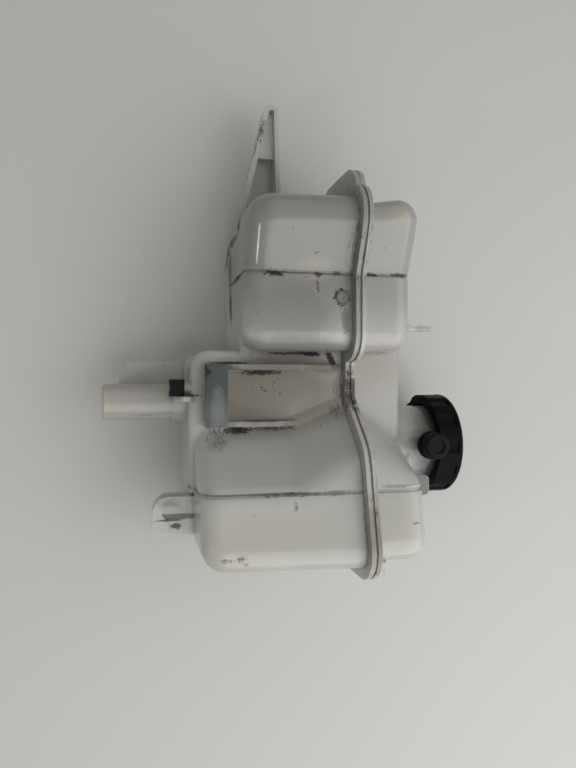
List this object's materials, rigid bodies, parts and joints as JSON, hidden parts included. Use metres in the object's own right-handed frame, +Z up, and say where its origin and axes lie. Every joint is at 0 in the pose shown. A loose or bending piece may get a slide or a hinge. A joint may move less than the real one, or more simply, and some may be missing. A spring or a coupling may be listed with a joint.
{
  "type": "coolant expansion tank",
  "caption": "Welded milky plastic coolant expansion tank with a black screw pressure cap, a hose nozzle underneath, a bracket socket in front and a pointed side tongue.",
  "frame": {"origin": "on the floor of the bracket socket, between its rails, 31.8 mm below the weld plane of the shells", "axes": "+Z up to the filler cap as the tank is fitted, +X along the tank to the large chamber, -Y the front with the bracket socket"},
  "size_m": [0.2529, 0.104, 0.1915],
  "materials": {
    "tank_plastic": "milky translucent moulding, satin, soiled with use",
    "cap_plastic": "black, satin",
    "seal_rubber": "black, matt",
    "valve_steel": "pressed stainless sheet",
    "spring_steel": "drawn wire",
    "valve_brass": "turned"
  },
  "bodies": {
    "tank": {"lower_shell": "tank_plastic", "upper_shell": "tank_plastic", "overflow_plug": "seal_rubber", "mount_buffer": "seal_rubber"},
    "valve_carrier": {"valve_guide": "cap_plastic", "pressure_spring": "spring_steel"},
    "cap": {"filler_cap": "cap_plastic", "cap_gasket": "seal_rubber"},
    "pressure_stage": {"pressure_valve": "valve_steel", "pressure_gasket": "seal_rubber", "vacuum_spring": "spring_steel"},
    "vacuum_stage": {"vacuum_valve": "valve_brass", "vacuum_washer": "valve_brass"}
  },
  "joints": [
    {"name": "cap_lift", "type": "slide", "parent": "tank", "child": "valve_carrier", "axis": [0, 0, 1], "range_m": [0, 0.007]},
    {"name": "cap_turn", "type": "hinge", "parent": "valve_carrier", "child": "cap", "pos_m": [0.027, 0.025, 0.09], "axis": [0, 0, 1], "range_deg": [0, 630]},
    {"name": "pressure_open", "type": "slide", "parent": "valve_carrier", "child": "pressure_stage", "axis": [0, 0, 1], "range_m": [0, 0.003], "stiffness_N_per_m": 1500, "springref_m": -0.002, "deforming": ["pressure_spring"]},
    {"name": "vacuum_open", "type": "slide", "parent": "pressure_stage", "child": "vacuum_stage", "axis": [0, 0, -1], "range_m": [0, 0.0015], "stiffness_N_per_m": 60, "springref_m": -0.001, "deforming": ["vacuum_spring"]}
  ],
  "couplings": [
    {"joint": "cap_turn", "follows": "cap_lift", "rad_per_m": 1570}
  ]
}
